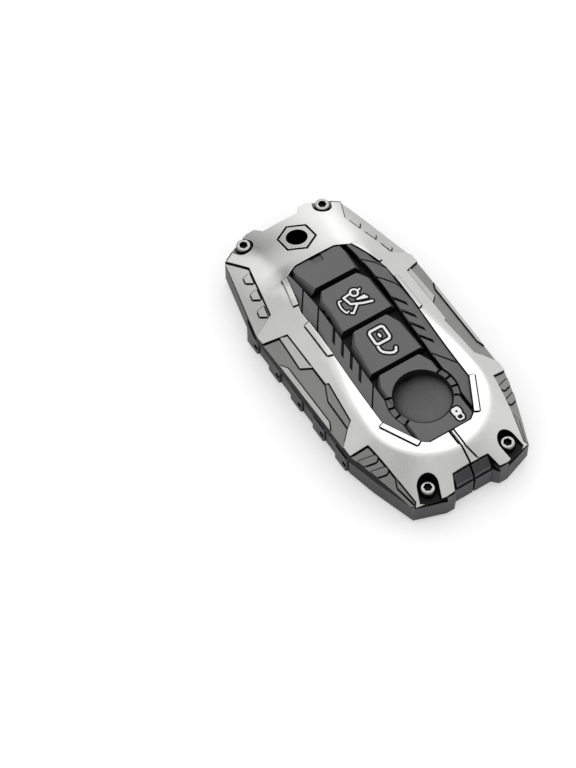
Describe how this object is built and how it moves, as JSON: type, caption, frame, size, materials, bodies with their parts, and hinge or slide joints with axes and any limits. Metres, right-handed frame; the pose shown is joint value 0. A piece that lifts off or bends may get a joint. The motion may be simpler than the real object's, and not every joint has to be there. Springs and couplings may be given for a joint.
{
  "type": "key fob cover",
  "caption": "Clamshell cover for a car key fob: crowned satin metal front with a louvred silicone keypad, dark ribbed rear shell, corner screws and a hexagonal ring eyelet.",
  "frame": {"origin": "under the middle of the cover's length and width, on the flat of its back", "axes": "+X across the cover, +Y along it towards the eyelet, +Z out of the button face"},
  "size_m": [0.0464, 0.091, 0.0177],
  "materials": {
    "satin_silver": "satin plated die casting",
    "gunmetal": "satin dark paint",
    "silicone_grey": "matte moulded silicone",
    "bush_silver": "satin",
    "liner_black": "matte foam sheet",
    "screw_steel": "bright"
  },
  "bodies": {
    "rear_half": {"rear_shell": "gunmetal", "rear_liner": "liner_black", "eyelet_bush": "bush_silver"},
    "front_half": {"front_shell": "satin_silver", "keypad_panel": "silicone_grey", "screw_top_left": "screw_steel", "screw_top_right": "screw_steel", "screw_tail_left": "screw_steel", "screw_tail_right": "screw_steel"},
    "trunk_key": {"trunk_button": "silicone_grey"},
    "unlock_key": {"unlock_button": "silicone_grey"},
    "lock_key": {"lock_button": "silicone_grey"}
  },
  "joints": [
    {"name": "front_lift", "type": "slide", "parent": "rear_half", "child": "front_half", "axis": [0, 0, 1], "range_m": [0, 0.03]},
    {"name": "trunk_press", "type": "slide", "parent": "front_half", "child": "trunk_key", "axis": [0, 0, -1], "range_m": [0, 0.0008], "stiffness_N_per_m": 2500},
    {"name": "unlock_press", "type": "slide", "parent": "front_half", "child": "unlock_key", "axis": [0, 0, -1], "range_m": [0, 0.0008], "stiffness_N_per_m": 2500},
    {"name": "lock_press", "type": "slide", "parent": "front_half", "child": "lock_key", "axis": [0, 0, -1], "range_m": [0, 0.0008], "stiffness_N_per_m": 2500}
  ]
}
